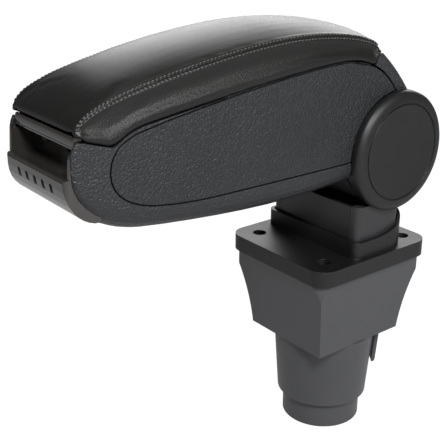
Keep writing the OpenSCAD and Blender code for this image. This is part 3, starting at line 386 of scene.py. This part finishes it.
# The sections stand closer together towards both rounded ends.
stations = np.concatenate(
    [
        lid_front + 0.4 + 30 * np.linspace(0, 1, 11) ** 1.8,
        np.linspace(lid_front + 36, lid_rear - 12, 24),
        lid_rear - 0.4 - 9.6 * np.linspace(1, 0, 8) ** 1.6,
    ]
)
rings = [lid_ring(float(y)) for y in stations]
bpy.ops.object.select_all(action="DESELECT")
bpy.ops.mesh.primitive_circle_add(vertices=len(rings[0]), radius=0.01, fill_type="NGON")
cushion = bpy.context.object
cushion.name = "lid_cushion"
bpy.ops.object.mode_set(mode="EDIT")
form = bmesh.from_edit_mesh(cushion.data)
for vertex, spot in zip(form.faces[:][0].verts[:], rings[0]):
    vertex.co = spot
for last, ring in zip(rings, rings[1:]):
    bpy.ops.mesh.extrude_region()
    form = bmesh.from_edit_mesh(cushion.data)
    fresh = [vertex for vertex in form.verts if vertex.select]
    loop = [min(fresh, key=lambda vertex: (vertex.co - spot).length_squared) for spot in last]
    for vertex, spot in zip(loop, ring):
        vertex.co = spot
bmesh.update_edit_mesh(cushion.data)
bpy.ops.mesh.select_all(action="SELECT")
bpy.ops.mesh.normals_make_consistent(inside=False)
bpy.ops.object.mode_set(mode="OBJECT")
cushion.data.remesh_voxel_size = 0.0017
bpy.ops.object.voxel_remesh()


def spots_of(piece):
    """The places of a piece's vertices, one row each."""
    spots = np.zeros(len(piece.data.vertices) * 3)
    piece.data.vertices.foreach_get("co", spots)
    return spots.reshape(-1, 3)


def set_spots(piece, spots):
    piece.data.vertices.foreach_set("co", np.ascontiguousarray(spots, np.float32).ravel())
    piece.data.update()


# The foam presses the leather out: the crown swells by most of a millimetre, while
# the edge that is pulled round the pan stays where it is.
swell_most, rim_held, roof_held, pan_half = 0.0008, 0.003, 0.002, 0.032
still = spots_of(cushion)
rim = np.array([lid_sill(1000 * y) for y in still[:, 1]]) / 1000 + rim_held
roof = np.interp(1000 * still[:, 1], pan_points[:, 0], pan_points[:, 1]) / 1000 + roof_held
held = (still[:, 2] < rim) | ((still[:, 2] < roof) & (np.abs(still[:, 0]) < pan_half))
group = cushion.vertex_groups.new(name="held")
group.add(np.flatnonzero(held).tolist(), 1.0, "REPLACE")
swell = cushion.modifiers.new("swell", "CLOTH")
swell.settings.use_pressure = True
swell.settings.uniform_pressure_force = 4
swell.settings.effector_weights.gravity = 0
swell.settings.vertex_group_mass = "held"
swell.point_cache.frame_end = 20
for moment in range(1, 21):
    bpy.context.scene.frame_set(moment)
swollen = cushion.evaluated_get(bpy.context.evaluated_depsgraph_get())
moved = spots_of(swollen) - still
cushion.modifiers.remove(swell)
bpy.context.scene.frame_set(1)
reach = np.linalg.norm(moved, axis=1, keepdims=True)
set_spots(cushion, still + moved * np.minimum(1, swell_most / np.maximum(reach, 1e-9)))
cushion.vertex_groups.clear()

bpy.ops.object.select_all(action="DESELECT")
cushion.select_set(True)
bpy.context.view_layer.objects.active = cushion
ease = cushion.modifiers.new("ease", "SMOOTH")
ease.iterations = 2
bpy.ops.object.modifier_apply(modifier=ease.name)
finer = cushion.modifiers.new("finer", "SUBSURF")
finer.levels = finer.render_levels = 1
bpy.ops.object.modifier_apply(modifier=finer.name)
bpy.ops.object.shade_smooth()


def seam_spot(y):
    """Where the right seam runs, a tenth of a millimetre inside the leather."""
    return (lid_half_width(y, height(seam_inset, y)) - 0.1, y, height(seam_points, y))


# The seam draws the leather in, with a soft ridge at each side of it. Each vertex keeps how far
# it is from the seam, less than 0 on the side strip, and how far along it.
groove_deep, groove_half = 0.8, 0.8
ridge_high, ridge_off, ridge_half = 0.3, 2.4, 1.3
seam_line = np.array([seam_spot(y) for y in np.linspace(lid_front + 1.2, lid_rear - 1.0, 1200)]) / 1000
lengths = np.concatenate([[0], np.cumsum(np.linalg.norm(np.diff(seam_line, axis=0), axis=1))])
tree_of_seam = kdtree.KDTree(len(seam_line))
for index, spot in enumerate(seam_line):
    tree_of_seam.insert(spot, index)
tree_of_seam.balance()
spots = spots_of(cushion)
normals = np.zeros(len(spots) * 3, np.float32)
cushion.data.vertices.foreach_get("normal", normals)
normals = normals.reshape(-1, 3)
away, along = np.zeros(len(spots)), np.zeros(len(spots))
for index, (x, y, z) in enumerate(spots):
    near, which, far_off = tree_of_seam.find((abs(x), y, z))
    on_crown = (z - near.z) + (near.x - abs(x)) > 0
    away[index] = 1000 * far_off * (1 if on_crown else -1)
    along[index] = 1000 * lengths[which]
groove = groove_deep * np.exp(-((away / groove_half) ** 2))
ridge = ridge_high * np.exp(-(((np.abs(away) - ridge_off) / ridge_half) ** 2))
set_spots(cushion, spots + normals * (ridge - groove)[:, None] / 1000)
for name, values in (("seam_away", np.clip(away, -30, 30)), ("seam_along", along)):
    layer = cushion.data.attributes.new(name, "FLOAT", "POINT")
    layer.data.foreach_set("value", values.astype(np.float32))


def leather(name, dark, light, rough=0.38):
    """Coated leather: small flat pebbles, faint creases, and gathers beside the seam."""
    crown_share = 0.22  # the crown is stretched, so its pebbles are flatter than the side's

    def make(tree):
        here = place(tree)
        away = here.node("ShaderNodeAttribute", out="Fac", attribute_name="seam_away")
        along = here.node("ShaderNodeAttribute", out="Fac", attribute_name="seam_along")
        over_seam = {"Value": away, "From Min": 2, "From Max": -2, "To Min": crown_share, "To Max": 1}
        side = here.node("ShaderNodeMapRange", over_seam)
        bend = noise(here, 2.5, 2)
        cells = pebbles(here, 0.85)
        fine = noise(here, 0.35, 2, 0.6)
        creases = noise(place(tree, (1, 0.35, 1)), 7, 4, 0.6)
        cloud = noise(here, 45, 3)
        cleft = math.e ** (away * away * -4.0)
        off_row = away * away - row_off**2
        stitch_row = math.e ** (off_row * off_row * -0.3)
        gather = here.node("ShaderNodeMath", {0: along * (2 * math.pi / stitch_pitch)}, operation="SINE")
        grain = ((1 - cells) * 0.15 + bend * 0.03 + fine * 0.05) * side
        relief = grain + creases * 0.02 - cleft * 0.5 - stitch_row * (gather * 0.14 + 0.12)
        return {
            "Base Color": tones(here, cloud * 0.7 + cells * 0.3, dark, light),
            "Roughness": (cloud - 0.5) * 0.08 + (cells - 0.4) * 0.1 + cleft * 0.2 + rough,
            "Normal": bump(relief, 1.0),
        }

    return surface(name, make, IOR=1.4)


cushion.data.materials.clear()
cushion.data.materials.append(leather("leather", (0.006, 0.0058, 0.0055), (0.011, 0.0106, 0.01)))
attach(cushion, "lid")
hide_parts("lid_cover", "lid_foam")

# Stitches: two rows of black thread along each seam, one on the crown and one on the side
# strip, each stitch sunk a little in the leather.
stitch_size, stitch_up, past_seam = (0.38, 1.0, 0.36), 0.00008, 0.0003
bpy.ops.object.select_all(action="DESELECT")
bpy.ops.mesh.primitive_uv_sphere_add(segments=8, ring_count=6, radius=0.001)
stitches = bpy.context.object
stitches.name = "lid_stitches"
one = spots_of(stitches) * stitch_size
faces = [list(polygon.vertices) for polygon in stitches.data.polygons]
skin = BVHTree.FromObject(cushion, bpy.context.evaluated_depsgraph_get())
rows = ((-row_off / 1000, 0, past_seam), (past_seam, 0, -row_off / 1000))
thread, panels = [], []
for run in np.arange(2.0, 1000 * lengths[-1] - 2, stitch_pitch):
    index = int(np.searchsorted(lengths, run / 1000))
    middle, heading = seam_line[index], Vector(seam_line[index + 4] - seam_line[index - 4]).normalized()
    for offset in rows:
        spot, up, _, _ = skin.find_nearest(Vector(middle + offset))
        side_way = heading.cross(up).normalized()
        forward = up.cross(side_way)
        for mirror in (1, -1):
            count = len(thread) * len(one)
            turned = one @ np.array([side_way, forward, up]) + np.array(spot + up * stitch_up)
            thread.append(turned * (mirror, 1, 1))
            panels += [[count + corner for corner in face[::mirror]] for face in faces]
stitches.data.clear_geometry()
stitches.data.from_pydata(np.vstack(thread).tolist(), [], panels)
stitches.data.update()
stitches.data.shade_smooth()
stitches.location = (0, 0, 0)
stitches.data.materials.append(satin("thread", (0.045, 0.044, 0.042), (0.085, 0.083, 0.08), 0.36, 0.3, 0.05))
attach(stitches, "lid")

# Studio: a pale floor, a white surround and soft lamps, with the camera where the
# photographer stood.


def ray(tree, kind):
    """1 for light rays of this kind, and 0 for all others."""
    return Wire(tree).node("ShaderNodeLightPath", out=kind)


bpy.ops.object.select_all(action="DESELECT")
bpy.ops.mesh.primitive_plane_add(size=12, location=(0, 0, 0))
floor = bpy.context.object
floor.name = "floor"
floor_shade, floor_white = 0.45, 1.16
pale = bpy.data.materials.new("pale_floor")
pale.use_nodes = True
floor_tree = pale.node_tree
paper = floor_tree.nodes["Principled BSDF"]
paper.inputs["Base Color"].default_value = (floor_shade, floor_shade, floor_shade, 1)
paper.inputs["Roughness"].default_value = 0.9
lit = Wire(floor_tree, paper.outputs[0])
white = lit.node("ShaderNodeEmission", {"Color": (1, 1, 1, 1), "Strength": floor_white})
share = ray(floor_tree, "Is Camera Ray") * 0.87 + ray(floor_tree, "Is Glossy Ray") * 0.15
seen = lit.node("ShaderNodeMixShader", {0: share, 1: lit, 2: white})
floor_tree.links.new(seen.socket, floor_tree.nodes["Material Output"].inputs["Surface"])
floor.data.materials.append(pale)

world = bpy.data.worlds.new("surround")
bpy.context.scene.world = world
world.use_nodes = True
sky = world.node_tree
background = sky.nodes["Background"]
background.inputs["Color"].default_value = (1, 1, 1, 1)
strength = 0.15 + 0.9 * ray(sky, "Is Camera Ray") + 0.85 * ray(sky, "Is Transmission Ray")
strength = strength - 0.03 * ray(sky, "Is Glossy Ray")
sky.links.new(strength.socket, background.inputs["Strength"])


def lamp(name, at, toward, size, watts):
    """A rectangular soft lamp at one place, turned to another."""
    data = bpy.data.lights.new(name, "AREA")
    data.shape = "RECTANGLE"
    data.size, data.size_y = size
    data.energy = watts
    new = bpy.data.objects.new(name, data)
    bpy.context.collection.objects.link(new)
    new.location = at
    new.rotation_euler = (Vector(toward) - Vector(at)).to_track_quat("-Z", "Y").to_euler()


lamp("back_softbox", (-1.0, 1.15, 0.8), (0, -0.05, 0.28), (1.9, 0.8), 17)
lamp("right_softbox", (1.1, 0.05, 0.62), (0, -0.1, 0.22), (0.4, 0.4), 6.5)
lamp("front_softbox", (0.75, -0.5, 1.0), (0, -0.13, 0.25), (0.3, 0.3), 16)

eye_at = (0.42716, -0.43395, 0.39146)
eye_heading, eye_down, eye_roll = (math.radians(angle) for angle in (51.963, 21.359, 0.196))
view = bpy.data.cameras.new("photographer")
view.lens = 73.66
view.sensor_width = 36
eye = bpy.data.objects.new("photographer", view)
bpy.context.collection.objects.link(eye)
eye.matrix_world = (
    Matrix.Translation(eye_at)
    @ Matrix.Rotation(eye_heading, 4, "Z")
    @ Matrix.Rotation(math.radians(90) - eye_down, 4, "X")
    @ Matrix.Rotation(eye_roll, 4, "Z")
)
bpy.context.scene.camera = eye
bpy.context.scene.view_settings.view_transform = "Standard"
